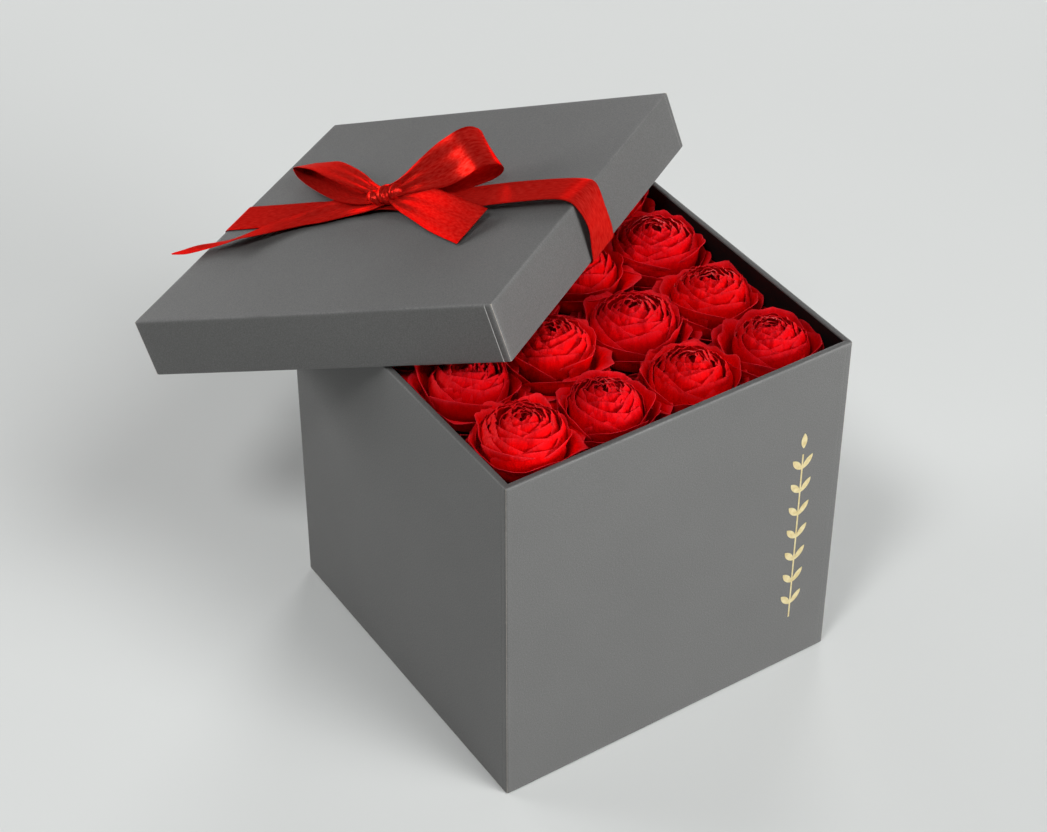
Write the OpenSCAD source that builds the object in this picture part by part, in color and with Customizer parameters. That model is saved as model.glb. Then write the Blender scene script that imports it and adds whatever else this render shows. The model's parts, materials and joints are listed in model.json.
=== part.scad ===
// Square rigid gift box with sixteen rose heads and a bow-tied lift-off lid.
// The lid lies askew on the box: one box corner carries its panel, two walls carry its skirt.
// Origin: centre of the box's underside. Front face at -Y, +Z up, millimetres.

/* [Box] */
// Outer width and depth of the box
box_w = 200; // [180:1:210]
// Outer height of the box
box_h = 202; // [190:1:220]
// Thickness of the greyboard in the box walls and base
board_t = 2.6; // [2:0.1:3]
// Thickness of the outer wrapping paper
wrap_t = 0.4; // [0.3:0.05:0.5]
// Thickness of the black lining paper
liner_t = 0.3; // [0.2:0.05:0.4]
// Depth of the wrapping paper turned in over the rim
turn_in = 15; // [8:1:20]
// Rounding of the vertical edges
edge_r = 1.2; // [0.8:0.1:1.3]

/* [Lid] */
// Outer width and depth of the lid
lid_w = 210; // [208:1:212]
// Overall height of the lid
lid_h = 31.5; // [26:0.5:32]
// Thickness of the greyboard in the lid
lid_board_t = 2.5; // [2:0.1:2.5]
// Turn of the lid about the vertical, from the box's own direction
lid_yaw = -57.6; // [-60:0.1:-55]
// Slope of the lid along its ribbon
lid_slope = -20.2; // [-20.4:0.1:-20]
// Sideways lean of the lid
lid_lean = -1.7; // [-2:0.1:-1.5]
// Gap between the lid's panel and the box corner under it
rest_gap = 0.8; // [0.6:0.1:2]

/* [Ribbon] */
// Width of the satin ribbon
ribbon_w = 25; // [20:1:28]
// Thickness of the ribbon round the lid
ribbon_t = 0.5; // [0.4:0.1:0.8]
// Thickness of the ribbon solids in the bow
bow_t = 0.8; // [0.6:0.1:1]
// Length of the right loop
loop_right_len = 62; // [55:1:66]

/* [Roses] */
// Roses along each side of the box
rose_rows = 4; // [4:1:4]
// Radius of a rose head
rose_r = 23.4; // [20:0.1:23.5]
// Height of a rose head
rose_h = 41; // [36:1:44]
// Height of the highest rose crown above the rim
rose_rise = 11; // [0:1:12]
// Bare stem between the foam and the lowest calyx
bare_stem = 4; // [2:1:12]
// Radius of a stem
stem_r = 2.5; // [2:0.1:3]
// Depth of a stem in the foam
stem_depth = 60; // [40:5:90]

/* [Foil ornament] */
// Distance of the ornament from the box's centre line
foil_x = 74.6; // [50:0.1:80]
// Height of the ornament's centre above the base
foil_z = 94; // [80:1:110]
// Length of the ornament
foil_len = 124; // [100:1:130]
// Pairs of leaves on the ornament
leaf_pairs = 7; // [5:1:7]

/* [Hidden] */
$fn = 64;
// Box layers, from the underside up
base_z = 2 * wrap_t;
wall_z = base_z + board_t;
floor_z = wall_z + liner_t;
wall_top = box_h - wrap_t;
under_turn = 15;
liner_gap = 0.6;
// Widths across the box's layers
board_w = box_w - 2 * wrap_t;
well_w = board_w - 2 * board_t;
lined_w = well_w - 4 * liner_t;
// Lid layers, in the lid's own frame: origin at the centre of the outer top face
lid_panel_t = wrap_t + lid_board_t + liner_t;
lid_board_w = lid_w - 2 * wrap_t;
lid_well_w = lid_board_w - 2 * lid_board_t;
lid_inner_w = lid_well_w - 2 * liner_t;
lid_turn_in = 12;
// The box's back left corner meets the panel at this place in the lid's frame
rest_at = [-41.5, -53.9, -lid_panel_t];
lid_rot = [lid_lean, lid_slope, lid_yaw];
// Roses and foam
rose_pitch = lined_w / rose_rows;
rose_top = box_h + rose_rise;
calyx_h = 9;
calyx_r = 8;
// Drop of each crown below the highest, row by row from the front
crown_drops = [[0, 3, 8, 7], [1, 0, 6, 8], [4, 5, 4, 6], [5, 6, 3, 7]];
lowest_drop = max([for (row = crown_drops) each row]);
foam_top = rose_top - lowest_drop - rose_h - calyx_h - bare_stem;
foam_gap = 0.2;
// Ornament
foil_t = 0.1;
leaf_len = 9.6;
leaf_w = 3.6;
leaf_tilt = 38;
vein_w = 0.9;
// Ribbon, in the lid's frame
band_y = -2;
tuck = 14;
// Band's course as [x, z]: from inside the left skirt, over the lid, and round the right skirt,
// where it is slack and stands off the lid's edge
lid_edge = lid_w / 2;
band_course = [
    [3.6 - lid_edge, tuck - lid_h], [3.6 - lid_edge, -lid_h], [3.4 - lid_edge, -0.4 - lid_h],
    [3 - lid_edge, -0.5 - lid_h], [0.2 - lid_edge, -0.5 - lid_h], [-lid_edge - 0.3, -0.4 - lid_h],
    [-lid_edge - 0.5, -lid_h], [-lid_edge - 0.6, -16], [-lid_edge - 0.6, 0.2],
    [-lid_edge - 0.2, 0.6], [2 - lid_edge, 0.5], [-60, 0.4], [-8, 0.3], [20, 0.9], [38, 2.3],
    [52, 3.2], [66, 3.6], [lid_edge - 25, 3.7], [lid_edge - 13, 3.4], [lid_edge - 6, 2.7],
    [lid_edge - 1.5, 1.5], [lid_edge + 0.5, 0.2], [lid_edge + 1.8, -2.4], [lid_edge + 2.8, -7],
    [lid_edge + 3.1, -14],
    [lid_edge + 2.3, 8.5 - lid_h], [lid_edge + 1.2, 1.5 - lid_h], [lid_edge + 0.5, -lid_h],
    [lid_edge + 0.3, -0.4 - lid_h], [lid_edge - 0.2, -0.5 - lid_h], [lid_edge - 3, -0.5 - lid_h],
    [lid_edge - 3.4, -0.4 - lid_h], [lid_edge - 3.6, -lid_h], [lid_edge - 3.6, tuck - lid_h]];
knot_at = [-8, -1, 6];
knot_size = [19, 16, 10.4];
bow_steps = 22;

wood_grey = [0.62, 0.58, 0.52];
paper_grey = [0.44, 0.44, 0.43];
lining_black = [0.08, 0.07, 0.07];
satin_red = [0.78, 0.1, 0.08];
petal_red = [0.8, 0.0, 0.0];
foam_green = [0.16, 0.3, 0.18];
stem_green = [0.2, 0.36, 0.16];
foil_gold = [0.88, 0.79, 0.5];

ROSES = [for (r = [1:rose_rows], c = [1:rose_rows]) [r, c]];

// ---- Shared shapes ----

// A square slab centred on the Z axis from height z0 to z1
module slab(w, z0, z1) {
    translate([-w / 2, -w / 2, z0]) cube([w, w, z1 - z0]);
}

// A square slab with rounded vertical edges
module round_slab(w, z0, z1, r) {
    translate([0, 0, z0]) linear_extrude(z1 - z0) {
        square([w, w - 2 * r], center = true);
        square([w - 2 * r, w], center = true);
        for (x = [-1, 1], y = [-1, 1])
            translate([x * (w / 2 - r), y * (w / 2 - r)]) circle(r);
    }
}

// A square ring between two widths
module ring(outer, inner, z0, z1) {
    difference() {
        slab(outer, z0, z1);
        slab(inner, z0 - 1, z1 + 1);
    }
}

// A board standing along the front or back of a square of width w
module long_board(w, t, z0, z1, side) {
    translate([-w / 2, side > 0 ? w / 2 - t : -w / 2, z0]) cube([w, t, z1 - z0]);
}

// A board standing between the two long boards
module short_board(w, t, z0, z1, side) {
    translate([side > 0 ? w / 2 - t : -w / 2, t - w / 2, z0]) cube([t, w - 2 * t, z1 - z0]);
}

// ---- Box ----

module base_board() { color(wood_grey) slab(board_w, base_z, wall_z); }
module front_board() { color(wood_grey) long_board(board_w, board_t, wall_z, wall_top, -1); }
module back_board() { color(wood_grey) long_board(board_w, board_t, wall_z, wall_top, 1); }
module left_board() { color(wood_grey) short_board(board_w, board_t, wall_z, wall_top, -1); }
module right_board() { color(wood_grey) short_board(board_w, board_t, wall_z, wall_top, 1); }

// Sheet glued over the turned-under edges, with its middle bedded against the base board
module base_paper() {
    color(paper_grey) {
        slab(box_w - 8, 0, wrap_t);
        slab(box_w - 2 * under_turn, wrap_t, base_z);
    }
}

// Outer paper: four sides, turned under the base and over the rim
module box_wrap() {
    color(paper_grey) difference() {
        round_slab(box_w, wrap_t, box_h, edge_r);
        slab(board_w, base_z, wall_top);
        slab(box_w - 2 * under_turn, 0, base_z + 1);
        slab(well_w - 2 * liner_t, wall_top - 1, box_h + 1);
    }
    color(paper_grey) ring(well_w, well_w - 2 * liner_t, wall_top - turn_in, wall_top);
}

// Black inner lining: floor, walls, and a thinner band over the turned-in paper
module box_liner() {
    color(lining_black) {
        slab(well_w, wall_z, floor_z);
        ring(well_w, lined_w, floor_z, wall_top - turn_in);
        ring(well_w - 2 * liner_t, lined_w, wall_top - turn_in, box_h - liner_gap);
    }
}

// Pointed leaf lying along +Y from the origin
module leaf() {
    arc_r = (pow(leaf_len / 2, 2) + pow(leaf_w / 2, 2)) / leaf_w;
    translate([0, leaf_len / 2]) intersection_for(side = [-1, 1])
        translate([side * (arc_r - leaf_w / 2), 0]) circle(arc_r);
}

// Gold foil sprig on the front face: a straight vein, paired leaves and an end diamond
module foil_ornament() {
    pair_gap = (foil_len - leaf_len) / (leaf_pairs + 0.5);
    color(foil_gold) translate([foil_x, -box_w / 2, foil_z]) rotate([90, 0, 0])
        linear_extrude(foil_t) {
            translate([-vein_w / 2, -foil_len / 2])
                square([vein_w, foil_len - leaf_len * 1.4]);
            for (i = [0:leaf_pairs - 1], side = [-1, 1])
                translate([0, -foil_len / 2 + (i + 0.6) * pair_gap])
                    rotate(side * leaf_tilt) translate([0, 0.4]) leaf();
            translate([0, foil_len / 2 - leaf_len]) leaf();
        }
}

// ---- Roses ----

function rose_place(r, c) = [
    (c - (rose_rows + 1) / 2) * rose_pitch,
    (r - (rose_rows + 1) / 2) * rose_pitch,
    rose_top - crown_drops[r - 1][c - 1]
];

module foam_block() {
    color(foam_green) difference() {
        slab(lined_w - 2 * foam_gap, floor_z, foam_top);
        for (rc = ROSES) translate([rose_place(rc[0], rc[1]).x, rose_place(rc[0], rc[1]).y,
                                    foam_top - stem_depth])
            cylinder(r = stem_r, h = stem_depth + 1);
    }
}

// Rose head: a cup that widens from the calyx and closes in a low dome
module rose(r, c) {
    shoulder = 0.62 * rose_h;
    dome_h = rose_h - shoulder;
    color(petal_red) translate(rose_place(r, c) - [0, 0, rose_h]) rotate_extrude()
        polygon(concat(
            [[0, 0], [calyx_r, 0], [0.72 * rose_r, 0.2 * rose_h], [0.92 * rose_r, 0.4 * rose_h]],
            [for (a = [0:15:75]) [rose_r * cos(a), shoulder + dome_h * sin(a)]],
            [[0, rose_h]]));
}

// Cut stem in the foam, with the calyx that holds the head
module stem(r, c) {
    at = rose_place(r, c);
    head_z = at.z - rose_h;
    color(stem_green) translate([at.x, at.y, 0]) {
        translate([0, 0, foam_top - stem_depth])
            cylinder(r = stem_r, h = head_z - calyx_h + stem_depth - foam_top);
        translate([0, 0, head_z - calyx_h]) cylinder(r1 = stem_r, r2 = calyx_r, h = calyx_h);
    }
}

// ---- Lid, drawn in its own frame and laid askew on the box ----

// Turns a point from the lid's frame to the box's directions
function turned(p) =
    let (cx = cos(lid_rot.x), sx = sin(lid_rot.x), cy = cos(lid_rot.y), sy = sin(lid_rot.y),
         cz = cos(lid_rot.z), sz = sin(lid_rot.z),
         a = [p.x, cx * p.y - sx * p.z, sx * p.y + cx * p.z],
         b = [cy * a.x + sy * a.z, a.y, cy * a.z - sy * a.x])
    [cz * b.x - sz * b.y, sz * b.x + cz * b.y, b.z];

module laid() {
    translate([-box_w / 2, box_w / 2, box_h + rest_gap] - turned(rest_at))
        rotate(lid_rot) children();
}

skirt_top = -wrap_t - lid_board_t;
skirt_end = wrap_t - lid_h;

module lid_top_board() { color(wood_grey) laid() slab(lid_board_w, skirt_top, -wrap_t); }
module lid_front_board() {
    color(wood_grey) laid() long_board(lid_board_w, lid_board_t, skirt_end, skirt_top, -1);
}
module lid_back_board() {
    color(wood_grey) laid() long_board(lid_board_w, lid_board_t, skirt_end, skirt_top, 1);
}
module lid_left_board() {
    color(wood_grey) laid() short_board(lid_board_w, lid_board_t, skirt_end, skirt_top, -1);
}
module lid_right_board() {
    color(wood_grey) laid() short_board(lid_board_w, lid_board_t, skirt_end, skirt_top, 1);
}

// Outer paper of the lid, turned in round the skirt's lower edge
module lid_wrap() {
    color(paper_grey) laid() {
        difference() {
            round_slab(lid_w, -lid_h, 0, edge_r);
            slab(lid_board_w, skirt_end, -wrap_t);
            slab(lid_inner_w, -lid_h - 1, skirt_end + 1);
        }
        ring(lid_well_w, lid_inner_w, skirt_end, skirt_end + lid_turn_in);
    }
}

// Lining under the panel and down the skirt to the turned-in paper
module lid_lining() {
    color(lining_black) laid() {
        slab(lid_well_w, skirt_top - liner_t, skirt_top);
        ring(lid_well_w, lid_inner_w, skirt_end + lid_turn_in, skirt_top - liner_t);
    }
}

// ---- Ribbon ----

function unit(v) = v / norm(v);

// Four corners of a ribbon's section: at is its centre, along its direction, across its width
function section(at, along, across, w, t) =
    let (u = unit(across), n = unit(cross(along, u)))
    [at - u * w / 2 - n * t / 2, at + u * w / 2 - n * t / 2,
     at + u * w / 2 + n * t / 2, at - u * w / 2 + n * t / 2];

// Station between two points on the ribbon's edges
function between(near, far) = [(near + far) / 2, far - near, norm(far - near)];

// Ribbon over the lid, down both skirts, and tucked up inside
module ribbon_band() {
    color(satin_red) laid()
        strip([for (p = band_course) [[p.x, band_y, p.y], [0, 1, 0], ribbon_w]], ribbon_t);
}

// Solid strip through stations of [centre, across, width]
module strip(stations, t) {
    last = len(stations) - 1;
    rings = [for (i = [0:last])
        let (ahead = stations[min(i + 1, last)][0], behind = stations[max(i - 1, 0)][0])
        section(stations[i][0], ahead - behind, stations[i][1], stations[i][2], t)];
    sides = [for (i = [0:last - 1], k = [0:3])
        let (a = 4 * i + k, b = 4 * i + (k + 1) % 4) each [[a, b, b + 4], [a, b + 4, a + 4]]];
    polyhedron([for (r = rings) each r],
        concat(sides, [[0, 3, 2], [0, 2, 1]],
               [[for (k = [0, 1, 2]) 4 * last + k], [for (k = [0, 2, 3]) 4 * last + k]]));
}

// Stations of a loop that leaves the knot, folds back at its tip and returns.
// root is where it leaves, along its direction, across the ribbon's width, gap its fullness.
function loop_stations(root, along, across, reach, gap) =
    let (a = unit(along), u = unit(across), n = unit(cross(a, u)))
    [for (i = [0:bow_steps])
        let (t = i / bow_steps, out = sin(180 * t), spread = sin(360 * t) * out)
        [root + a * reach * pow(out, 0.9) + n * (gap * 0.65 * spread + cos(180 * t) * bow_t),
         u, 11 + (ribbon_w - 11) * min(1, 1.9 * out)]];

module bow_knot() {
    color(satin_red) laid() translate(knot_at) rotate([0, 0, 20]) scale(knot_size / 2)
        sphere(1, $fn = 24);
}

// Left loop: out along the lid, folded at its tip, and back above itself
module bow_loop_left() {
    color(satin_red) laid() strip([
        between([-12, -3, 4], [-13, 4, 4]),
        between([-28, 0, 2.2], [-33, 15, 2.4]),
        between([-46, 6.5, 1.9], [-53, 29, 1.8]),
        between([-66, 18.5, 3], [-68, 42, 1.4]),
        between([-80, 28, 5.2], [-79, 50, 1.4]),
        between([-85.5, 33, 7.4], [-83.5, 51, 2.2]),
        between([-85, 33, 9.6], [-83, 50, 3.6]),
        between([-79, 30, 11], [-77.5, 47, 5]),
        between([-66, 24, 11.4], [-70, 45, 6]),
        between([-50.5, 14.5, 10.8], [-58, 39.5, 7.4]),
        between([-30, 4, 9.4], [-37, 24.5, 8.4]),
        between([-13, -2, 7], [-14, 6, 7.5])], bow_t);
}

module bow_loop_right() {
    color(satin_red) laid()
        strip(loop_stations([-6, 0, 7.5], [54, 20, 10.5], [-0.6, 0.55, 0.57],
                            loop_right_len - 4, 13), bow_t);
}

// Long tail: lies across the band, rolls on to its far edge, and ends past the lid's edge
module bow_tail_left() {
    color(satin_red) laid() strip([
        between([-7, -9, 4], [-12, 1, 5.4]),
        between([-28, -11, 1.6], [-31, 8, 4.4]),
        between([-41, -15.5, 1.6], [-48.5, 3, 3.4]),
        between([-52, -18, 1.8], [-60, -5.2, 2.8]),
        between([-62.5, -23, 2.8], [-70.5, -10, 2]),
        between([-72.5, -30.5, 4.6], [-80.5, -16, 1.4]),
        between([-80.5, -37, 7], [-91.5, -26, 1]),
        between([-91, -40, 8.2], [-105.5, -34, 1.2]),
        between([-106, -40.5, 6], [-115, -36.5, 2]),
        between([-125, -39, 2.6], [-127, -38, 2])], bow_t);
}

// Short tail: spreads to full width, near edge on the lid and far corner raised
module bow_tail_right() {
    color(satin_red) laid() strip([
        between([-3, -9, 4.4], [-1, 0, 6.4]),
        between([8, -15.5, 3.6], [10, 2.5, 8]),
        between([19, -23, 2.6], [22, -1, 8.4]),
        between([34, -33.5, 1.5], [38, -9, 7.8]),
        between([56, -46.5, 0.7], [63, -22, 6])], bow_t);
}

base_board();
front_board();
back_board();
left_board();
right_board();
base_paper();
box_wrap();
box_liner();
foil_ornament();
foam_block();
for (rc = ROSES) rose(rc[0], rc[1]);
for (rc = ROSES) stem(rc[0], rc[1]);
lid_top_board();
lid_front_board();
lid_back_board();
lid_left_board();
lid_right_board();
lid_wrap();
lid_lining();
ribbon_band();
bow_knot();
bow_loop_left();
bow_loop_right();
bow_tail_left();
bow_tail_right();
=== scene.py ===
"""Looks of the flower box: paper-wrapped box and lid, sixteen rose heads, satin ribbon and bow.

Shapes are worked out in millimetres, in the frame of the CAD model or of its lid, and scaled to
metres as they go into meshes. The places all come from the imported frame.
"""

import json
import math
import random

import bmesh
import bpy
from mathutils import Matrix, Vector, noise


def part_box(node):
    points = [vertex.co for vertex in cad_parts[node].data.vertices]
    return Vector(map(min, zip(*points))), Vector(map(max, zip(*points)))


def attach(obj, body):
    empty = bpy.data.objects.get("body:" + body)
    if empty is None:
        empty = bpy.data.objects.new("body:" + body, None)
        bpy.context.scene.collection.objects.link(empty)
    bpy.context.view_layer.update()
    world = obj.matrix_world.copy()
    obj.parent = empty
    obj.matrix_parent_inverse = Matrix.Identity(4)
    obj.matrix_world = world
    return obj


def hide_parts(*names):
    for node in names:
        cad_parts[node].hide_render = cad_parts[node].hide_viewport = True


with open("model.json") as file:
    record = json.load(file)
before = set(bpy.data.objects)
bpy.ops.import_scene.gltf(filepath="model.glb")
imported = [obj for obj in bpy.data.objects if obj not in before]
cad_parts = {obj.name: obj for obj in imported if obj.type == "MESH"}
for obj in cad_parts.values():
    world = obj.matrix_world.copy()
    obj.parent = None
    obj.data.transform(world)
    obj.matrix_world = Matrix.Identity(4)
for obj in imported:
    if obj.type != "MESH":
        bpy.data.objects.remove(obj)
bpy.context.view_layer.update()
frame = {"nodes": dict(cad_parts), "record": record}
MM = 0.001

# ---- Camera ----

CAMERA_AT = (-0.56634, -0.82698, 0.95248)
CAMERA_AZIMUTH, CAMERA_ELEVATION, CAMERA_ROLL = -33.2121, 39.3211, 0.0897
LENS_MM, SENSOR_MM = 87.47, 36.0
CLIP_FROM, CLIP_TO = 0.05, 50


def make_camera():
    """A camera at CAMERA_AT, whose azimuth is measured from the front of the box."""
    az, el, roll = (math.radians(a) for a in (CAMERA_AZIMUTH, CAMERA_ELEVATION, CAMERA_ROLL))
    back = Vector((math.sin(az) * math.cos(el), -math.cos(az) * math.cos(el), math.sin(el)))
    level = Vector((0, 0, 1)).cross(back).normalized()
    above = back.cross(level)
    right = level * math.cos(roll) + above * math.sin(roll)
    up = back.cross(right)
    camera = bpy.data.objects.new("camera", bpy.data.cameras.new("camera"))
    turn = Matrix((right, up, back)).transposed().to_4x4()
    camera.matrix_world = Matrix.Translation(CAMERA_AT) @ turn
    camera.data.lens = LENS_MM
    camera.data.sensor_width = SENSOR_MM
    camera.data.clip_start, camera.data.clip_end = CLIP_FROM, CLIP_TO
    bpy.context.scene.collection.objects.link(camera)
    bpy.context.scene.camera = camera


# ---- Places read from the frame ----


def corners_of(node):
    """A CAD node's distinct vertices, in metres."""
    vertices = frame["nodes"][node].data.vertices
    return [Vector(c) for c in {tuple(round(x, 6) for x in v.co) for v in vertices}]


def centre_of(node):
    """The mean of a CAD node's distinct vertices, in metres."""
    found = corners_of(node)
    return sum(found, Vector()) / len(found)


def lid_frame():
    """The lid's own frame: origin at the centre of its outer top face, X along the ribbon."""
    x = (centre_of("lid_right_board") - centre_of("lid_left_board")).normalized()
    y = (centre_of("lid_back_board") - centre_of("lid_front_board")).normalized()
    z = x.cross(y)
    top = max(c.dot(z) for c in corners_of("lid_wrap"))
    middle = centre_of("lid_top_board")
    origin = middle + z * (top - middle.dot(z))
    turn = Matrix((x, y, z)).transposed().to_4x4()
    return Matrix.Translation(origin) @ turn


IN_PLACE = Matrix.Identity(4)
LID = lid_frame()
LID_POINTS = [LID.inverted() @ c for c in corners_of("lid_wrap")]

# Half widths, depth and height, in millimetres. The well is the space inside the box's lining
LID_HALF = max(c.x for c in LID_POINTS) / MM
LID_DEPTH = -min(c.z for c in LID_POINTS) / MM
BOX_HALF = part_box("box_wrap")[1].x / MM
BOX_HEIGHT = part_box("box_wrap")[1].z / MM
WELL_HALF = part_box("foam_block")[1].x / MM


# ---- Mesh tools ----


def add_mesh(name, points, faces, material, place=IN_PLACE, attributes=None, smooth_under=40):
    """A mesh object from points in millimetres. attributes maps a name to one value a point.
    Edges that fold more sharply than smooth_under degrees stay sharp."""
    mesh = bpy.data.meshes.new(name)
    mesh.from_pydata([tuple(place @ (Vector(p) * MM)) for p in points], [], faces)
    mesh.validate()
    for key, values in (attributes or {}).items():
        layer = mesh.attributes.new(key, "FLOAT", "POINT")
        layer.data.foreach_set("value", values)
    work = bmesh.new()
    work.from_mesh(mesh)
    bmesh.ops.recalc_face_normals(work, faces=work.faces)
    limit = math.radians(smooth_under)
    for edge in work.edges:
        edge.smooth = len(edge.link_faces) == 2 and edge.calc_face_angle() < limit
    for face in work.faces:
        face.smooth = True
    work.to_mesh(mesh)
    work.free()
    mesh.materials.append(material)
    piece = bpy.data.objects.new(name, mesh)
    bpy.context.scene.collection.objects.link(piece)
    return piece


def ease(x):
    """Smooth step from 0 at 0 to 1 at 1."""
    x = min(1.0, max(0.0, x))
    return x * x * (3 - 2 * x)


def mix(a, b, t):
    """a at t = 0 and b at t = 1."""
    return a + (b - a) * t


# ---- Materials ----


def new_material(name, colour, roughness=0.6, **sockets):
    """A material with one Principled shader, whose uniform values sit on its own sockets."""
    material = bpy.data.materials.new(name)
    material.use_nodes = True
    shader = material.node_tree.nodes["Principled BSDF"]
    shader.inputs["Base Color"].default_value = (*colour, 1)
    shader.inputs["Roughness"].default_value = roughness
    for socket, value in sockets.items():
        shader.inputs[socket.replace("_", " ")].default_value = value
    return material, material.node_tree, shader


def node(tree, kind, **values):
    """A new node. Each value goes to the socket of that name, or else to the property."""
    made = tree.nodes.new(kind)
    for key, value in values.items():
        if key in made.inputs:
            made.inputs[key].default_value = value
        else:
            setattr(made, key, value)
    return made


def link(tree, source, target):
    tree.links.new(source, target)


def noise_map(tree, scale, detail=3.0, stretch=(1, 1, 1), rough=0.55):
    """Noise over the object's own coordinates, in metres: scale is features a metre."""
    where = node(tree, "ShaderNodeTexCoord")
    scaled = node(tree, "ShaderNodeMapping", Scale=stretch)
    link(tree, where.outputs["Object"], scaled.inputs["Vector"])
    made = node(tree, "ShaderNodeTexNoise", Scale=scale, Detail=detail, Roughness=rough)
    link(tree, scaled.outputs["Vector"], made.inputs["Vector"])
    return made.outputs["Fac"]


def cell_map(tree, scale):
    """Distance from the middles of random cells: scale is cells a metre."""
    where = node(tree, "ShaderNodeTexCoord")
    made = node(tree, "ShaderNodeTexVoronoi", Scale=scale)
    link(tree, where.outputs["Object"], made.inputs["Vector"])
    return made.outputs["Distance"]


def attribute(tree, name):
    """A mesh's own value at each point, by name."""
    made = node(tree, "ShaderNodeAttribute")
    made.attribute_name = name
    return made.outputs["Fac"]


def ramp(tree, factor, stops):
    """A colour ramp. stops are (position, colour) pairs, or (position, number)."""
    made = node(tree, "ShaderNodeValToRGB")
    elements = made.color_ramp.elements
    while len(elements) < len(stops):
        elements.new(0.5)
    for element, (position, value) in zip(elements, stops):
        element.position = position
        colour = value if hasattr(value, "__len__") else (value, value, value)
        element.color = (*colour, 1)
    link(tree, factor, made.inputs["Fac"])
    return made.outputs["Color"]


def blend_colour(tree, factor, a, b, mode="MIX"):
    """Mixes two colours, each a socket or three numbers, by a socket or a number."""
    made = node(tree, "ShaderNodeMix", data_type="RGBA", blend_type=mode)
    sockets = [made.inputs[0], made.inputs[6], made.inputs[7]]
    for socket, value in zip(sockets, (factor, a, b)):
        if isinstance(value, bpy.types.NodeSocket):
            link(tree, value, socket)
        elif hasattr(value, "__len__"):
            socket.default_value = (*value, 1)
        else:
            socket.default_value = value
    return made.outputs[2]


def maths(tree, operation, a, b=0.0):
    """A sum or product of two values, each a socket or a number."""
    made = node(tree, "ShaderNodeMath", operation=operation)
    for socket, value in zip(made.inputs, (a, b)):
        if isinstance(value, bpy.types.NodeSocket):
            link(tree, value, socket)
        else:
            socket.default_value = value
    return made.outputs[0]


def bump(tree, shader, height, strength, distance):
    """Relief from a height socket. distance is in metres."""
    made = node(tree, "ShaderNodeBump", Strength=strength, Distance=distance)
    link(tree, height, made.inputs["Height"])
    link(tree, made.outputs["Normal"], shader.inputs["Normal"])


def wrapping_paper(name, colour, worn_and_lit):
    """Embossed wrapping paper: pebbled grain, pale along its edges from scuffing and a painted
    highlight, and at seams from the paper's raw core and a painted highlight.
    """
    material, tree, shader = new_material(name, colour, 0.6, Specular_IOR_Level=0.36)
    mottle = ramp(tree, noise_map(tree, 24, 4), [(0.3, 0.97), (0.7, 1.02)])
    speck = ramp(tree, noise_map(tree, 1500, 2, rough=0.7), [(0.3, 0.8), (0.5, 1.0), (0.7, 1.24)])
    tone = blend_colour(tree, 1.0, colour, mottle, "MULTIPLY")
    tone = blend_colour(tree, 1.0, tone, speck, "MULTIPLY")
    broken = ramp(tree, noise_map(tree, 900, 3), [(0.35, 0.45), (0.65, 1.0)])
    patchy = ramp(tree, noise_map(tree, 22, 2), [(0.38, 0.35), (0.62, 1.0)])
    # Pale edges: partly scuffing, partly a painted highlight where the edges catch the light.
    rubbed_and_lit = maths(tree, "MULTIPLY", attribute(tree, "wear_and_highlight"), broken)
    rubbed_and_lit = maths(tree, "MULTIPLY", rubbed_and_lit, patchy)
    tone = blend_colour(tree, rubbed_and_lit, tone, worn_and_lit)
    # The seam's raw edge is paler: the paper's core, plus a painted highlight.
    tone = blend_colour(tree, attribute(tree, "cut_and_highlight"), tone, (0.34, 0.34, 0.33))
    link(tree, tone, shader.inputs["Base Color"])
    pebbles = maths(tree, "ADD", cell_map(tree, 1900.0), noise_map(tree, 1100, 3))
    bump(tree, shader, pebbles, 0.6, 0.00009)
    return material


def lining_paper():
    material, tree, shader = new_material("lining_paper", (0.006, 0.005, 0.005), 0.7,
                                          Specular_IOR_Level=0.25)
    fibres = noise_map(tree, 900, 4)
    link(tree, ramp(tree, fibres, [(0.3, (0.004, 0.004, 0.004)), (0.7, (0.009, 0.008, 0.008))]),
         shader.inputs["Base Color"])
    bump(tree, shader, fibres, 0.3, 0.00008)
    return material


def greyboard():
    material, tree, shader = new_material("greyboard", (0.36, 0.33, 0.29), 0.9)
    fibres = noise_map(tree, 700, 6, (1, 1, 0.35))
    link(tree, ramp(tree, fibres, [(0.3, (0.25, 0.22, 0.19)), (0.7, (0.46, 0.42, 0.37))]),
         shader.inputs["Base Color"])
    bump(tree, shader, fibres, 0.4, 0.0002)
    return material


def floral_foam():
    material, tree, shader = new_material("floral_foam", (0.03, 0.08, 0.035), 0.95)
    pores = cell_map(tree, 1600.0)
    link(tree, ramp(tree, pores, [(0.1, (0.01, 0.03, 0.012)), (0.6, (0.04, 0.11, 0.045))]),
         shader.inputs["Base Color"])
    bump(tree, shader, pores, 0.8, 0.0005)
    return material


def green_stem():
    material, tree, shader = new_material("green_stem", (0.05, 0.14, 0.03), 0.5)
    streaks = noise_map(tree, 260, 4, (1, 1, 0.15))
    link(tree, ramp(tree, streaks, [(0.3, (0.03, 0.09, 0.02)), (0.7, (0.09, 0.2, 0.05))]),
         shader.inputs["Base Color"])
    bump(tree, shader, streaks, 0.3, 0.0003)
    return material


def gold_foil():
    """Pale hot-stamped foil: metal with tiny dimples from the paper's grain."""
    material, tree, shader = new_material("gold_foil", (0.82, 0.68, 0.36), 0.34, Metallic=0.75)
    patches = noise_map(tree, 300, 4)
    link(tree, ramp(tree, patches, [(0.35, (0.72, 0.58, 0.28)), (0.65, (0.9, 0.78, 0.46))]),
         shader.inputs["Base Color"])
    link(tree, ramp(tree, patches, [(0.35, 0.42), (0.65, 0.28)]), shader.inputs["Roughness"])
    bump(tree, shader, noise_map(tree, 1800, 3), 0.35, 0.00006)
    return material


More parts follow.
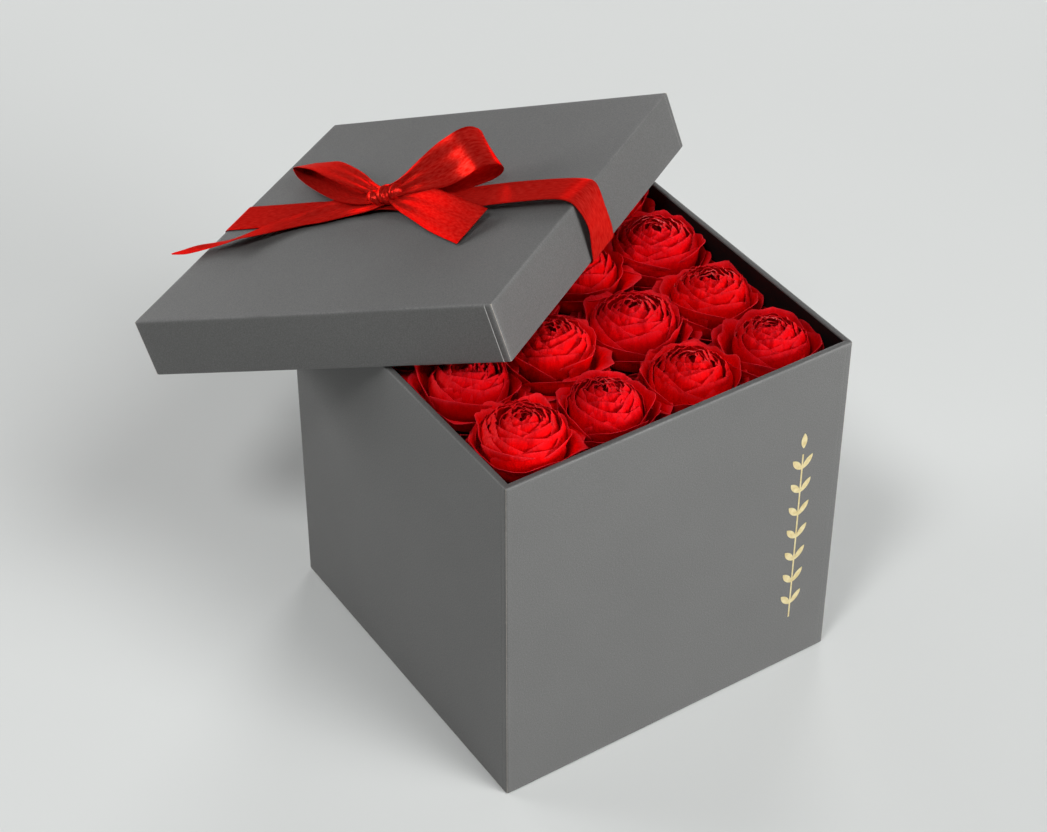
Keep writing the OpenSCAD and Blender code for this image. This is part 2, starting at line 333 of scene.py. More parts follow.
def satin():
    """Red satin with fine lengthwise streaks of paler, more orange red: painted sheen."""
    material, tree, shader = new_material(
        "satin", (0.55, 0.015, 0.01), 0.28, Metallic=0.42, Specular_IOR_Level=0.0)
    shader.inputs["Specular Tint"].default_value = (1.0, 0.14, 0.1, 1)
    uv = node(tree, "ShaderNodeUVMap", uv_map="ribbon")
    stretch = node(tree, "ShaderNodeMapping", Scale=(1.0, 0.3, 1.0))
    link(tree, uv.outputs["UV"], stretch.inputs["Vector"])
    streaks = node(tree, "ShaderNodeTexNoise", Scale=900.0, Detail=3.0)
    link(tree, stretch.outputs["Vector"], streaks.inputs["Vector"])
    # Painted sheen: the streaks run from a darker red to a paler, more orange red.
    tone = ramp(tree, streaks.outputs["Fac"],
                [(0.3, (0.5, 0.003, 0.002)), (0.72, (0.66, 0.03, 0.021))])
    tone = blend_colour(tree, attribute(tree, "selvedge"), tone, (0.34, 0.001, 0.001))
    link(tree, tone, shader.inputs["Base Color"])
    return material


def petal(name, foot_shade, bright, rim):
    """Velvety petal: painted shade darkens it toward its foot, it is bright across, and a thin rim
    is paled by a painted highlight.
    """
    material, tree, shader = new_material(
        name, bright, 0.62, Specular_IOR_Level=0.07, Subsurface_Weight=0.25,
        Subsurface_Scale=0.003)
    shader.inputs["Subsurface Radius"].default_value = (1.0, 0.05, 0.05)
    shader.inputs["Specular Tint"].default_value = (1.0, 0.3, 0.35, 1)
    # Painted shade: darker toward the petal's foot, low in the rose.
    tone = ramp(tree, attribute(tree, "height"), [(0.35, foot_shade), (0.85, bright)])
    mottle = ramp(tree, noise_map(tree, 160, 4), [(0.3, 0.85), (0.7, 1.1)])
    tone = blend_colour(tree, 1.0, tone, mottle, "MULTIPLY")
    # Painted highlight: the rim is paler and pinker, as thin edges catching the light.
    tone = blend_colour(tree, attribute(tree, "rim"), tone, rim)
    link(tree, tone, shader.inputs["Base Color"])
    streaks = node(tree, "ShaderNodeTexNoise", Scale=1.0, Detail=3.0)
    spot = node(tree, "ShaderNodeCombineXYZ")
    for socket, key, scale in (("X", "across", 9.0), ("Y", "height", 2.5), ("Z", "number", 3.7)):
        link(tree, maths(tree, "MULTIPLY", attribute(tree, key), scale), spot.inputs[socket])
    link(tree, spot.outputs["Vector"], streaks.inputs["Vector"])
    bump(tree, shader, streaks.outputs["Fac"], 0.6, 0.0012)
    return material


def floor_finish():
    material, tree, shader = new_material("floor", (0.735, 0.752, 0.742), 0.75,
                                          Specular_IOR_Level=0.2)
    link(tree, ramp(tree, noise_map(tree, 3, 3),
                    [(0.3, (0.73, 0.747, 0.737)), (0.7, (0.74, 0.757, 0.747))]),
         shader.inputs["Base Color"])
    return material


# ---- Wrapped paper shells of the box and the lid ----

# In millimetres: the paper and the gap under it, the corners' radii, and the seam
PAPER = 0.4
UNDER_BASE = 0.8
BOX_CORNER, LID_CORNER = 1.5, 1.6
SEAM_FROM_EDGE = 2.4
SEAM_STEP = 0.2
SEAM_GROOVE = 0.1
SEAM_WIDTH = 0.06
CORNER_STEPS = 8

# Turned-in paper: how wide the rim is and how far down the paper ends, in the box and in the lid
BOX_RIM, BOX_TURNED_IN = 3.3, 15.4
LID_RIM, LID_TURNED_IN = 3.2, 12.4


def wrap_stations(half, radius, bow, seamed):
    """Places round a square, anticlockwise from above, for the four sides in turn.
    Each is (side, along, turn, lift, edge highlight, seam highlight): along runs from -1 to 1 on
    the straight, turn from 0 to 1 round the corner after it. The two highlights pale the paper: the
    first is scuffing plus a painted highlight, the second the raw paper at the seam's edge plus a
    painted highlight. bow is how far a side's middle stands out. The paper's
    seam lies just before each corner, and seamed is how plain it is, from 0 to 1."""
    straight = half - radius
    step, groove = SEAM_STEP * seamed, SEAM_GROOVE * seamed
    seam = 1 - SEAM_FROM_EDGE / straight
    narrow = SEAM_WIDTH / straight
    along = [-1, -1 + 1.5 / straight, -0.94, -0.8, -0.6, -0.4, -0.2, 0, 0.2, 0.4, 0.6, 0.8, 0.9,
             0.93, 0.955]
    found = []
    for side in range(4):
        for a in along:
            rise = step * ease((a - 0.9) * 12) + bow * (1 - a * a)
            found.append((side, a, 0, rise, 0.15 if a == -1 else 0, 0))
        found.append((side, seam - 4 * narrow, 0, step, 0.05, 0))
        # The seam's raw edge and the groove beside it are paled: the paper's core plus a painted
        # highlight.
        found.append((side, seam, 0, step, 0.2, seamed ** 2))
        found.append((side, seam + narrow, 0, -groove, 0, 0.4 * seamed ** 2))
        found.append((side, seam + 5 * narrow, 0, -groove, 0, 0))
        found.append((side, seam + 10 * narrow, 0, 0, 0.05, 0))
        found.append((side, 1, 0, 0, 0.15, 0))
        for i in range(1, CORNER_STEPS):
            t = i / CORNER_STEPS
            # The rounded corner is paler: scuffing plus a painted highlight.
            found.append((side, 1, t, 0, mix(0.1, 0.5, math.sin(math.pi * t) ** 3), 0))
    return found


def wrap_point(station, half, radius, inset, z, lifted):
    """The place of a station on the ring that lies inset from the outer face."""
    side, along, turn, lift = station[:4]
    reach = half - inset
    corner = max(radius - inset, 0.25)
    straight = reach - corner
    if turn:
        angle = turn * math.pi / 2
        x = straight + corner * math.sin(angle)
        y = -(straight + corner * math.cos(angle))
    else:
        x, y = along * straight, -(reach + lift * lifted)
    cosine, sine = [(1, 0), (0, 1), (-1, 0), (0, -1)][side]
    return (cosine * x - sine * y, sine * x + cosine * y, z)


def wrapped_shell(name, half, radius, bow, seamed, profile, closed, material, place=IN_PLACE):
    """A thin paper shell swept round a square. profile is a list of (inset, height, share of
    lift, edge highlight: scuffing plus painted highlight). Its two ends are joined if closed, and
    otherwise capped."""
    stations = wrap_stations(half, radius, bow, seamed)
    points, wear_and_highlight, cut_and_highlight = [], [], []
    for inset, z, lifted, worn_and_lit in profile:
        for s in stations:
            points.append(wrap_point(s, half, radius, inset, z, lifted))
            wear_and_highlight.append(min(1, worn_and_lit + s[4] * lifted))
            cut_and_highlight.append(s[5] * lifted)
    n, rings = len(stations), len(profile)
    faces = []
    for j in range(rings if closed else rings - 1):
        for i in range(n):
            a, b = j * n + i, j * n + (i + 1) % n
            c, d = ((j + 1) % rings) * n + (i + 1) % n, ((j + 1) % rings) * n + i
            faces.append((a, b, c, d))
    if not closed:
        faces.append(tuple(range(n - 1, -1, -1)))
        faces.append(tuple((rings - 1) * n + i for i in range(n)))
    return add_mesh(name, points, faces, material, place, {"wear_and_highlight": wear_and_highlight, "cut_and_highlight": cut_and_highlight}, 50)


def box_profile(height):
    """Section of the box's paper: under the base, up the wall, over the rim, down inside."""
    under, skin, rim = UNDER_BASE, PAPER, BOX_RIM
    end = height - BOX_TURNED_IN
    # The last value of each point pales the paper: scuffing plus a painted highlight along the foot
    # and the rim.
    foot = [(15, under, 0, 0), (15, skin, 0, 0), (1.3, skin, 0, 0.1), (0.5, skin + 0.08, 0.3, 0.6),
            (0.12, skin + 0.4, 0.8, 0.9), (0, skin + 1.0, 1, 0.4), (0, skin + 2.2, 1, 0)]
    wall = [(0, height * share, 1, 0) for share in (0.1, 0.3, 0.5, 0.7, 0.9)]
    top = [(0, height - 2.4, 1, 0), (0, height - 1.0, 1, 0.1), (0.1, height - 0.5, 0.9, 0.45),
           (0.35, height - 0.16, 0.5, 1), (0.8, height, 0.2, 0.35), (1.3, height, 0, 0.05),
           (2.5, height, 0, 0.05), (rim - 0.3, height - 0.07, 0, 0.35),
           (rim - 0.05, height - 0.3, 0, 0.25), (rim, height - 0.8, 0, 0)]
    inside = [(rim, end, 0, 0), (rim - 0.3, end, 0, 0),
              (rim - 0.3, height - skin, 0, 0), (skin, height - skin, 0, 0), (skin, under, 0, 0)]
    return foot + wall + top + inside


def lid_profile(half, depth):
    """Section of the lid's paper: top panel from its middle out, skirt, turned in below."""
    skin, wall = PAPER, LID_RIM
    end = LID_TURNED_IN - depth
    panel = [(half - 6, 0, 0, 0), (half * 0.6, -0.05, 0, 0), (half * 0.25, -0.08, 0, 0),
             (8, -0.02, 0, 0), (3, 0, 0, 0), (1.7, 0, 0, 0.1)]
    # The last value of each point pales the paper: scuffing plus a painted highlight along the top
    # edge and the hem.
    edge = [(0.95, -0.08, 0.2, 0.45), (0.42, -0.33, 0.5, 1), (0.1, -0.85, 0.8, 0.4),
            (0, -1.5, 1, 0.1), (0, -3, 1, 0)]
    skirt = [(0, -depth * share, 1, 0) for share in (0.3, 0.5, 0.7)]
    hem = [(0, 2.6 - depth, 1, 0), (0, 1.1 - depth, 1, 0.1), (0.12, 0.5 - depth, 0.9, 0.4),
           (0.45, 0.12 - depth, 0.4, 0.8), (1.0, -depth, 0, 0.4), (wall - 0.7, -depth, 0, 0.3),
           (wall - 0.15, 0.15 - depth, 0, 0.5), (wall, 0.7 - depth, 0, 0)]
    inside = [(wall, end, 0, 0), (wall - 0.3, end, 0, 0),
              (wall - 0.3, skin - depth, 0, 0), (skin, skin - depth, 0, 0),
              (skin, -skin, 0, 0), (half - 6, -skin, 0, 0)]
    return panel + edge + skirt + hem + inside


# ---- Roses ----

# Loose petals from the outside in: how many, rim radius, rim height under the crown, half width
# in degrees, and outward roll of the rim
LOOSE_RINGS = [
    (5, 25.5, -15.0, 45, 4.5),
    (5, 23.0, -10.5, 48, 3.4),
    (4, 20.2, -6.5, 58, 1.8),
]
# The heart's petals lie on its dome: how many, rim radius, and half width in degrees
HEART_RINGS = [
    (4, 17.4, 64), (4, 15.0, 62), (4, 12.6, 66), (4, 10.2, 70), (3, 8.0, 84), (3, 5.8, 88),
    (3, 3.7, 100), (2, 1.7, 140),
]
DOME_RADIUS, DOME_HEIGHT = 20.5, 13.5
PETAL_FOOT, PETAL_FOOT_RADIUS = -33.0, 1.5
PETAL_THICK = 0.22
ACROSS, UPWARD = 24, 14

# Petals are pressed back over the last WALL_MARGIN before they would come within WALL_GAP
WALL_MARGIN, WALL_GAP = 6.0, 0.4
FIRST_SEED = 40

# Each rose's own look, row by row from the front: where its heart lies off the middle, in
# millimetres, how far its loose petals open, and how full its heart is
ROSE_LOOKS = [
    [(0.6, 0.8, 0.97, 1.06), (-2.4, 0.8, 1.0, 0.92), (0.8, 1.6, 1.08, 1.0), (-0.6, 0.6, 1.1, 0.94)],
    [(1.6, 1.0, 1.06, 0.95), (0.2, 1.0, 1.0, 1.0), (0.4, 1.8, 1.1, 1.08), (-1.0, 1.2, 1.06, 1.02)],
    [(0.5, -0.5, 1.0, 1.0), (-0.8, 0.4, 1.05, 0.95), (1.2, 1.0, 1.0, 0.9), (-0.8, 1.6, 1.08, 1.12)],
    [(0.3, 0.4, 1.0, 1.0), (0.6, -0.8, 1.05, 1.0), (-0.6, 0.5, 1.0, 1.05), (0.8, 0.6, 1.0, 1.0)],
]


def held_in(p):
    """Presses a point back from the box's lining, as crowded petals are."""
    start = WELL_HALF - WALL_GAP - WALL_MARGIN
    pressed = []
    for c in (p[0], p[1]):
        past = abs(c) - start
        if past > 0:
            c = math.copysign(start + WALL_MARGIN * math.tanh(past / WALL_MARGIN), c)
        pressed.append(c)
    return (*pressed, p[2])


def cubic(t, a, b, c, d):
    """A Bezier curve's value at t, from its four control values."""
    s = 1 - t
    return s ** 3 * a + 3 * s * s * t * b + 3 * s * t * t * c + t ** 3 * d


def loose_profile(v, radius, rim_z, roll):
    """Radius and height of a loose petal at share v of the way from its foot to its rim."""
    r = cubic(v, PETAL_FOOT_RADIUS, radius * 0.85, radius + 0.4, radius)
    z = cubic(v, PETAL_FOOT, PETAL_FOOT + 4, rim_z - 7 - 0.15 * radius, rim_z)
    bend = max(0.0, (v - 0.7) / 0.3)
    return r + roll * bend ** 2, z - 0.6 * max(roll, 0) * bend ** 3


def heart_profile(v, radius, rim_z, slope):
    """Radius and height of a petal of the heart, whose upper part lies along the dome."""
    reach = 6.0 / math.hypot(1, slope)
    r = cubic(v, PETAL_FOOT_RADIUS, radius + 5, radius + reach, radius)
    z = cubic(v, PETAL_FOOT, PETAL_FOOT + 6, rim_z - reach * slope, rim_z)
    return r, z


def petal_grid(rng, middle, half_width, profile, waviness, crinkle, peak):
    """Points of one petal as rows from foot to rim, with its attributes."""
    tuck = rng.uniform(0.4, 1.0) * rng.choice((1, 1, 1, -1))
    half = math.radians(half_width * rng.uniform(0.9, 1.12))
    waves = [(rng.uniform(1.2, 2.0), rng.uniform(0, 6.3), rng.uniform(0.4, 1.0) * waviness),
             (rng.uniform(3.0, 5.0), rng.uniform(0, 6.3), rng.uniform(0.15, 0.45) * waviness)]
    lean = rng.uniform(-0.15, 0.15)
    seed = Vector((rng.uniform(0, 50), rng.uniform(0, 50), rng.uniform(0, 50)))
    rows = []
    for j in range(UPWARD + 1):
        row = []
        for i in range(ACROSS + 1):
            u = 2 * i / ACROSS - 1
            side = abs(u)
            v = (j / UPWARD) * (1 - 0.24 * side ** 2.4 - 0.04 * side + peak * (1 - side) ** 2)
            r, z = profile(v)
            angle = middle + u * half * mix(0.5, 1.0, ease(v * 1.5)) + lean * v
            sway = sum(a * math.sin(f * math.pi * u + p) for f, p, a in waves) * v ** 3
            folds = noise.noise(seed + Vector((u * 8.0, v * 1.6, 0.0)))
            soft = noise.noise(seed + Vector((u * 1.7, v * 2.5, 9.0)))
            r += tuck * u * (0.3 + 0.7 * v) + sway
            r += (0.6 * soft + crinkle * folds * v) * v * min(1, max(r, 0) / 7)
            z += 0.7 * sway + (0.9 * crinkle * folds + 0.4 * soft) * v ** 3
            # rim is the share of the painted highlight along the petal's free edge.
            rim = ease((j / UPWARD - 0.88) / 0.12)
            row.append(((r * math.cos(angle), r * math.sin(angle), z), rim, v, u))
        rows.append(row)
    return rows


def make_rose(name, seed, top, look, material, cad_node):
    """A rose head of overlapping petals whose crown is at top, in millimetres."""
    rng = random.Random(seed)
    heart_x, heart_y, opened, fullness = look
    grids = []
    start = rng.uniform(0, 2 * math.pi)
    for ring, (count, radius, rim_z, half_width, roll) in enumerate(LOOSE_RINGS):
        start += math.pi / count + rng.uniform(-0.2, 0.2)
        shift = Vector((heart_x, heart_y, 0)) * ring / len(LOOSE_RINGS)
        for k in range(count):
            middle = start + 2 * math.pi * k / count + rng.uniform(-0.12, 0.12)
            shape = (radius * opened * rng.uniform(0.96, 1.04), rim_z + rng.uniform(-1.6, 1.2),
                     roll * rng.uniform(0.5, 1.4))
            grids.append((petal_grid(rng, middle, half_width, lambda v: loose_profile(v, *shape),
                                     1.2, 0.6, rng.uniform(0.05, 0.13)), shift, 0.9))
    for ring, (count, radius, half_width) in enumerate(HEART_RINGS):
        start += math.pi / count + rng.uniform(-0.25, 0.25)
        shift = Vector((heart_x, heart_y, 0))
        for k in range(count):
            middle = start + 2 * math.pi * k / count + rng.uniform(-0.15, 0.15)
            rim_r = radius * fullness * rng.uniform(0.94, 1.06)
            across_dome = min(0.96, rim_r / (DOME_RADIUS * fullness))
            level = math.sqrt(1 - across_dome ** 2)
            slope = DOME_HEIGHT / (DOME_RADIUS * fullness) * across_dome / level
            rim_z = DOME_HEIGHT * (level - 1) + rng.uniform(-0.8, 0.4)
            shape = (rim_r, rim_z, slope)
            grids.append((petal_grid(rng, middle, half_width, lambda v: heart_profile(v, *shape),
                                     0.6, 1.05, 0.03), shift, 0.5))
    points, faces, rim_highlights, heights, across, number = [], [], [], [], [], []
    # Loose petals carry a stronger painted rim highlight than those of the heart.
    for count, (rows, shift, rim_highlight_share) in enumerate(grids):
        first = len(points)
        for row in rows:
            for p, rim, v, u in row:
                points.append(held_in(Vector(top) + Vector(p) + shift * v))
                rim_highlights.append(rim * rim_highlight_share)
                heights.append(v)
                across.append(u)
                number.append(count)
        for j in range(UPWARD):
            for i in range(ACROSS):
                a = first + j * (ACROSS + 1) + i
                faces.append((a, a + 1, a + ACROSS + 2, a + ACROSS + 1))
    values = {"rim": rim_highlights, "height": heights, "across": across, "number": number}
    rose = add_mesh(name, points, faces, material, attributes=values, smooth_under=180)
    thick = rose.modifiers.new("thickness", "SOLIDIFY")
    thick.thickness = PETAL_THICK * MM
    thick.offset = 0
    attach(rose, "box")
    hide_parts(cad_node)


# ---- Ribbon ----

RIBBON_WIDTH = 25.0
RIBBON_THICK = 0.35
STRANDS = 24
KNOT_FROM, KNOT_TO = -115, 265


def curve_through(stations, steps):
    """Catmull-Rom curve through stations, each a list of Vectors and numbers."""
    found = []
    last = len(stations) - 1
    for i in range(last):
        four = [stations[max(i - 1, 0)], stations[i], stations[i + 1],
                stations[min(i + 2, last)]]
        for k in range(steps + (i == last - 1)):
            t = k / steps
            found.append([0.5 * ((2 * b) + (c - a) * t + (2 * a - 5 * b + 4 * c - d) * t * t
                                 + (3 * b - a - 3 * c + d) * t ** 3)
                          for a, b, c, d in zip(*four)])
    return found


def between_edges(edges, steps):
    """A ribbon's line from its two edges. edges is a list of near and far points."""
    curve = curve_through([[Vector(near), Vector(far)] for near, far in edges], steps)
    return [[(near + far) / 2, far - near, (far - near).length] for near, far in curve]


def run_at(line, i):
    """The direction of a ribbon's line at its station i."""
    ahead, behind = line[min(i + 1, len(line) - 1)][0], line[max(i - 1, 0)][0]
    return (ahead - behind).normalized()


def ribbon_piece(name, line, cad_node, material, pleat=None):
    """A strip of ribbon along line, a list of [centre, across, width] in the lid's frame.
    pleat gives the lift of the cloth at (share along, share across from -1 to 1)."""
    n = len(line)
    points, uvs, selvedge = [], [], []
    travelled = 0.0
    for i, (centre, across, width) in enumerate(line):
        across = across.normalized()
        up = run_at(line, i).cross(across).normalized()
        if i:
            travelled += (centre - line[i - 1][0]).length
        for side in (1, -1):
            for k in range(STRANDS + 1):
                x = 2 * k / STRANDS - 1
                lift = pleat(i / (n - 1), x) if pleat else 0.0
                edge = 0.5 if abs(x) == 1 else 1.0
                lift += side * edge * RIBBON_THICK / 2
                points.append(centre + across * (x * width / 2) + up * lift)
                uvs.append((x * RIBBON_WIDTH / 2 * MM, travelled * MM))
                selvedge.append(ease((abs(x) - 0.88) / 0.12) * 0.5)
    row = 2 * (STRANDS + 1)
    ring = list(range(STRANDS + 1)) + list(range(row - 1, STRANDS, -1))
    faces = []
    for i in range(n - 1):
        for k in range(len(ring)):
            a, b = ring[k], ring[(k + 1) % len(ring)]
            faces.append((i * row + a, i * row + b, (i + 1) * row + b, (i + 1) * row + a))
    for k in range(STRANDS):
        low, high = k, k + STRANDS + 1
        faces.append((low + 1, low, high, high + 1))
        end = (n - 1) * row
        faces.append((end + low, end + low + 1, end + high + 1, end + high))
    piece = add_mesh(name, points, faces, material, LID, {"selvedge": selvedge}, 60)
    uv = piece.data.uv_layers.new(name="ribbon")
    for loop in piece.data.loops:
        uv.data[loop.index].uv = uvs[loop.vertex_index]
    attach(piece, "lid")
    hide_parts(cad_node)


def band_line():
    """The ribbon's run: up inside one skirt, round its lower edge, over the lid and back. On
    the right it is slack, and its near edge stands higher than its far one."""
    e, h = LID_HALF, LID_DEPTH
    # place along the lid, height, and how much higher the near edge stands
    course = [
        (3.7 - e, 14 - h, 0), (3.7 - e, 4 - h, 0), (3.6 - e, 0.6 - h, 0), (3.2 - e, -0.3 - h, 0),
        (2.4 - e, -0.55 - h, 0), (0.6 - e, -0.55 - h, 0), (-e - 0.2, -0.3 - h, 0),
        (-e - 0.6, 0.7 - h, 0), (-e - 0.75, -22, 0), (-e - 0.75, -12, 0), (-e - 0.6, -3, 0),
        (-e - 0.45, -1.2, 0), (-e - 0.1, -0.2, 0), (0.7 - e, 0.35, 0), (1.8 - e, 0.5, 0),
        (8 - e, 0.5, 0.1), (-80, 0.5, 0.3), (-60, 0.6, 0.5), (-40, 0.8, 1.2), (-24, 1.2, 2.2),
        (-8, 1.6, 2.4), (8, 1.4, 1.2), (22, 1.2, 0.4), (38, 2.3, 0.6), (52, 3.1, 1.0),
        (66, 3.6, 1.4), (e - 25, 3.8, 1.8), (e - 13, 3.7, 2.2), (e - 6, 3.1, 2.2),
        (e - 1.5, 1.9, 1.6), (e + 0.9, 0.1, 0.8), (e + 2.1, -2.6, 0), (e + 3.0, -7, 0),
        (e + 3.3, -14, 0), (e + 2.6, 8.5 - h, 0), (e + 1.5, 1.5 - h, 0),
        (e + 0.5, -0.25 - h, 0), (e - 0.6, -0.55 - h, 0), (e - 2.4, -0.55 - h, 0),
        (e - 3.2, -0.3 - h, 0), (e - 3.6, 0.6 - h, 0), (e - 3.7, 4 - h, 0), (e - 3.7, 14 - h, 0)]
    edges = []
    for x, z, raised in course:
        pinch = 6.5 * math.exp(-((x + 12) / 26) ** 2)
        slack = 1.6 * math.exp(-((z + 12) / 9) ** 2) if x > e else 0.0
        edges.append(((x + slack, -14.5 + pinch, z + raised / 2),
                      (x - slack * 0.8, 10.5 - 0.5 * pinch, z - raised / 2)))
    return between_edges(edges, 3)


def squared(line):
    """The same line with the ribbon's width held at right angles to its run."""
    found = []
    for i, (centre, across, width) in enumerate(line):
        along = run_at(line, i)
        found.append([centre, across - along * across.dot(along), width])
    return found


def loop_line(root, along, across, reach, gap, narrow=9.0):
    """A loop of ribbon that leaves the knot at root, folds back at its tip and returns."""
    a, u = along.normalized(), across.normalized()
    up = a.cross(u).normalized()
    found = []
    steps = 64
    for i in range(steps + 1):
        t = i / steps
        out = math.sin(math.pi * t)
        spread = math.sin(2 * math.pi * t) * out
        rise = gap * 0.65 * spread + 0.9 * math.cos(math.pi * t)
        width = mix(narrow, RIBBON_WIDTH, ease(1.7 * out))
        found.append([root + a * reach * out ** 0.9 + up * rise, u, width])
    return squared(found)


def right_loop_pleat(share, x):
    """Gathers by the knot, and slow waves along the strand that faces up."""
    near = min(share, 1 - share)
    gather = 1.3 * math.exp(-near / 0.09) * math.cos(2.6 * math.pi * x + 0.6)
    wave = 1.1 * math.sin(2 * math.pi * (share * 3.6 + 0.1 * x)) * ease(share / 0.1)
    return gather + wave * ease((0.46 - share) / 0.1) + 0.5 * x * x * ease(near / 0.2)


def left_loop_pleat(share, x):
    """Gathers by the knot, and shallow waves where the strand comes back."""
    near = min(share, 1 - share)
    gather = 1.2 * math.exp(-near / 0.09) * math.cos(2.6 * math.pi * x)
    return gather + 0.4 * math.sin(9 * share + x) * ease((share - 0.66) / 0.1)


def left_tail_pleat(share, x):
    """Gathers by the knot that run on into one lengthwise crease."""
    gather = 0.8 * math.exp(-share / 0.1) * math.cos(2.5 * math.pi * x)
    crease = 1.3 * math.exp(-((share - 0.22) / 0.16) ** 2)
    return gather + crease * (1 - min(1.0, abs(x - 0.1) / 0.55))


def right_tail_pleat(share, x):
    """A valley at the root, between two folds that fade as the ribbon spreads."""
    fade = math.exp(-share / 0.26)
    return fade * (1.9 * abs(x - 0.15) ** 1.3 - 1.0 + 0.5 * math.cos(3 * math.pi * x))


def knot_line(centre, half_height, half_depth):
    """The wrap of the knot: a turn and a little more round the ribbon's own run."""
    found = []
    steps = 56
    for i in range(steps + 1):
        angle = math.radians(mix(KNOT_FROM, KNOT_TO, i / steps))
        swing = 0.35 * math.sin(angle)
        place = Vector((2.2 * swing, half_depth * math.cos(angle), half_height * math.sin(angle)))
        found.append([centre + place, Vector((1, 0.3 + swing, 0)), 17.0])
    return squared(found)


def knot_pleat(share, x):
    """Slanting folds with sharp valleys, and edges that curl in."""
    angle = math.radians(mix(KNOT_FROM, KNOT_TO, share))
    fold = abs(math.sin(math.pi * (1.3 * x + 0.5 * math.sin(angle) + 0.2))) ** 0.8
    strength = mix(0.35, 1.0, ease(math.sin(angle) + 0.6))
    return strength * 2.2 * fold - 3.4 * abs(x) ** 2.4 - 0.8


# Near and far edges of the loop and the tails, station by station from the knot
LEFT_LOOP_EDGES = [
    ((-10, -3, 5), (-11, 3, 5.5)), ((-19, -3.8, 4), (-22, 8, 3.6)),
    ((-29.7, -2.4, 4.3), (-37, 18, 2.4)), ((-42.6, 1.9, 5), (-53, 29, 1.8)),
    ((-62.4, 13.6, 6.4), (-68, 42, 1.4)), ((-76.6, 23.4, 8.3), (-79, 50, 1.4)),
    ((-82.4, 28.8, 10.3), (-83.5, 51, 2.2)), ((-82.4, 29.5, 12), (-83, 50, 3.6)),
    ((-76.4, 26.5, 13.4), (-77.5, 47, 5)), ((-62.9, 19.8, 14.3), (-70, 45, 6)),
    ((-47.1, 9.9, 13.9), (-58, 39.5, 7.4)), ((-27.7, 0.8, 11.6), (-37, 24.5, 8.4)),
    ((-18, -1.9, 9.2), (-22, 12, 8.2)), ((-10, -2, 7), (-11, 4, 7.3)),
]
LEFT_TAIL_EDGES = [
    ((-6, -6, 5), (-7, 0, 6)), ((-14, -9.6, 3.4), (-18, 3.4, 5.2)),
    ((-28, -11, 1.8), (-31, 8, 4.4)), ((-41, -15.5, 1.8), (-48.5, 3, 3.4)),
    ((-52, -18, 2), (-60, -5.2, 2.8)), ((-62.5, -23, 2.8), (-70.5, -10, 2)),
    ((-72.5, -30.5, 4.6), (-80.5, -16, 1.4)), ((-80.5, -36.4, 6.4), (-91.5, -25.6, 1.2)),
    ((-90, -36.8, 4.4), (-100, -29.8, 2)), ((-102.5, -39.8, 3.2), (-109.5, -33.2, 2.8)),
    ((-112, -42, 2.8), (-117, -37.2, 2.8)), ((-122, -41, 2.6), (-123, -40, 2.6)),
]
RIGHT_TAIL_EDGES = [
    ((-4, -6, 5), (-3, 0, 6.8)), ((2, -11, 4.2), (4, 1.4, 7.4)),
    ((8, -15.5, 3.6), (10, 2.5, 8)), ((19, -23, 2.6), (22, -1, 8.4)),
    ((34, -33.5, 1.5), (38, -9, 7.8)), ((56, -46.5, 0.7), (63, -22, 6)),
]


def make_ribbon(material):
    """The band round the lid, and the bow's knot, loops and tails."""
    ribbon_piece("satin_band", band_line(), "ribbon_band", material)
    knot = knot_line(Vector((-8, -1, 6.2)), 4.6, 5.6)
    ribbon_piece("satin_knot", knot, "bow_knot", material, knot_pleat)
    ribbon_piece("satin_loop_left", between_edges(LEFT_LOOP_EDGES, 6), "bow_loop_left", material,
                 left_loop_pleat)
    right_loop = loop_line(Vector((-6, 0, 7.5)), Vector((54, 20, 10.5)),
                           Vector((-0.6, 0.55, 0.57)), 58, 13)
    ribbon_piece("satin_loop_right", right_loop, "bow_loop_right", material,
                 right_loop_pleat)
    ribbon_piece("satin_tail_left", between_edges(LEFT_TAIL_EDGES, 6), "bow_tail_left", material,
                 left_tail_pleat)
    ribbon_piece("satin_tail_right", between_edges(RIGHT_TAIL_EDGES, 8), "bow_tail_right",
                 material, right_tail_pleat)


# ---- Floor and light ----

LAMP_AIM = (0, 0, 0.1)
FLOOR_REACH = 6000
FLOOR_TOP = -0.05

# Each lamp's place in metres, power in watts, and width in metres
LAMPS = {
    "key": ((0.888, -2.440, 0.486), 77, 1.4),
    "far_right": ((1.86, 1.811, 0.486), 41, 1.4),
    "far": ((-0.35, 2.572, 0.486), 22, 1.4),
    "far_left": ((-1.669, 1.989, 0.486), 41, 1.4),
    "high_left": ((-1.292, -0.746, 2.480), 24.5, 0.6),
    "high_right": ((0.510, -1.401, 2.480), 24.5, 1.4),
}


def add_area(name, at, power, size):
    """A soft round lamp aimed at the box."""
    lamp = bpy.data.objects.new(name, bpy.data.lights.new(name, "AREA"))
    lamp.data.shape = "DISK"
    lamp.data.size = size
    lamp.data.energy = power
    lamp.location = at
    toward = Vector(LAMP_AIM) - Vector(at)
    lamp.rotation_euler = toward.to_track_quat("-Z", "Y").to_euler()
    lamp.visible_camera = False
    bpy.context.scene.collection.objects.link(lamp)


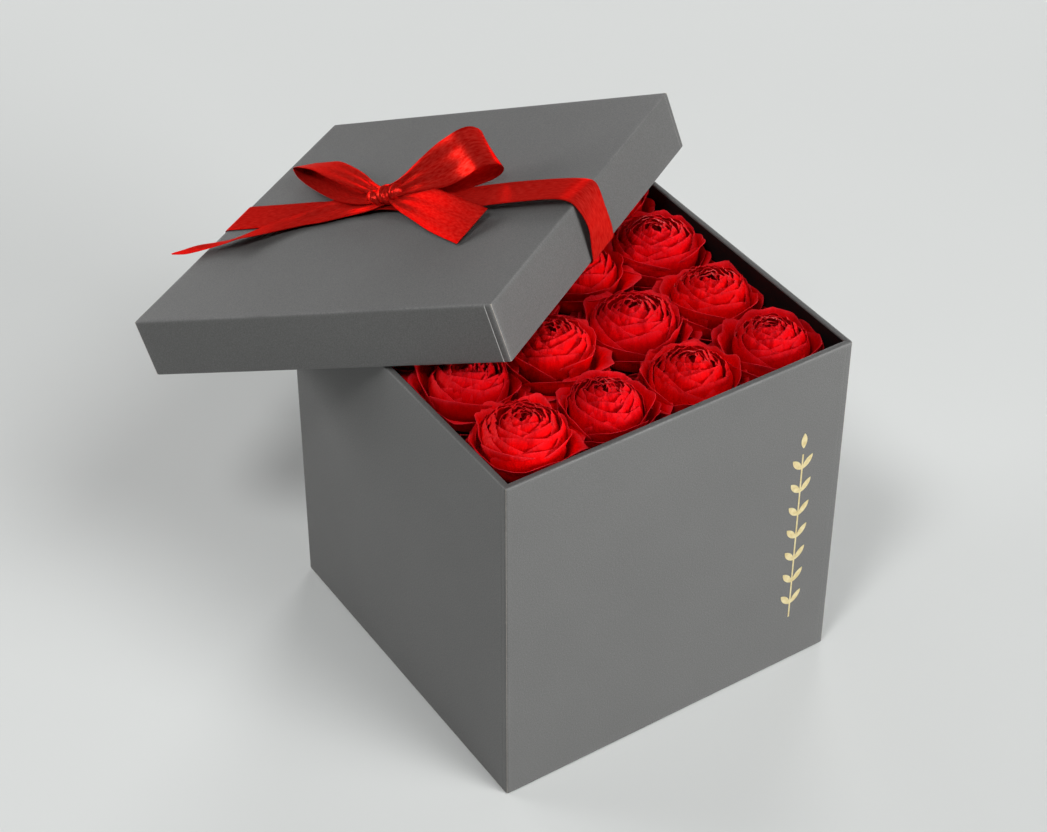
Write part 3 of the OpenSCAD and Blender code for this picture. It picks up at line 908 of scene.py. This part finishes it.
def make_stage():
    """The floor, the lamps, and a plain background that only the camera sees."""
    reach = FLOOR_REACH
    corners = [(-reach, -reach), (reach, -reach), (reach, reach), (-reach, reach)]
    floor = add_mesh("floor", [(x, y, FLOOR_TOP) for x, y in corners], [(0, 1, 2, 3)],
                     floor_finish())
    world = bpy.data.worlds.new("studio")
    world.use_nodes = True
    tree = world.node_tree
    sky = tree.nodes["Background"]
    sky.inputs["Color"].default_value = (0.6, 0.62, 0.61, 1)
    seen = node(tree, "ShaderNodeLightPath")
    link(tree, seen.outputs["Is Camera Ray"], sky.inputs["Strength"])
    bpy.context.scene.world = world
    bpy.context.scene.view_settings.view_transform = "Standard"
    for name, (at, power, size) in LAMPS.items():
        add_area(name, at, power, size)


# ---- Build ----

make_camera()
make_stage()

# The second colour is the pale edge: scuffing plus a painted highlight.
paper = wrapping_paper("grey_paper", (0.104, 0.104, 0.102), (0.2, 0.2, 0.196))
CAD_LOOKS = {
    "black_lining": lining_paper(),
    "greyboard": greyboard(),
    "floral_foam": floral_foam(),
    "rose_stem": green_stem(),
    "gold_foil": gold_foil(),
    "grey_paper": paper,
}
for part in frame["record"]["subparts"]:
    look = CAD_LOOKS.get(part["material_slot"])
    if look:
        slots = frame["nodes"][part["node"]].data.materials
        slots.clear()
        slots.append(look)

box_paper = wrapped_shell("box_paper", BOX_HALF, BOX_CORNER, 0.0, 0.3, box_profile(BOX_HEIGHT),
                          True, paper)
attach(box_paper, "box")
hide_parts("box_wrap")

lid_paper = wrapped_shell("lid_paper", LID_HALF, LID_CORNER, 0.2, 1.0,
                          lid_profile(LID_HALF, LID_DEPTH), False, paper, LID)
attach(lid_paper, "lid")
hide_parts("lid_wrap")

# Each petal's colours: painted shade at its foot, its own red, and a painted highlight on its rim.
petals = [petal("petal_a", (0.4, 0.0, 0.0), (0.84, 0.0, 0.001), (0.86, 0.02, 0.03)),
          petal("petal_b", (0.34, 0.0, 0.001), (0.78, 0.0, 0.002), (0.82, 0.018, 0.03))]
for r in range(1, 5):
    for c in range(1, 5):
        cad_node = f"rose_{r}_{c}"
        low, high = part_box(cad_node)
        top = ((low.x + high.x) / 2 / MM, (low.y + high.y) / 2 / MM, high.z / MM)
        make_rose(f"rose_head_{r}_{c}", FIRST_SEED + 4 * r + c, top, ROSE_LOOKS[r - 1][c - 1],
                  petals[(r + c) % 2], cad_node)

make_ribbon(satin())
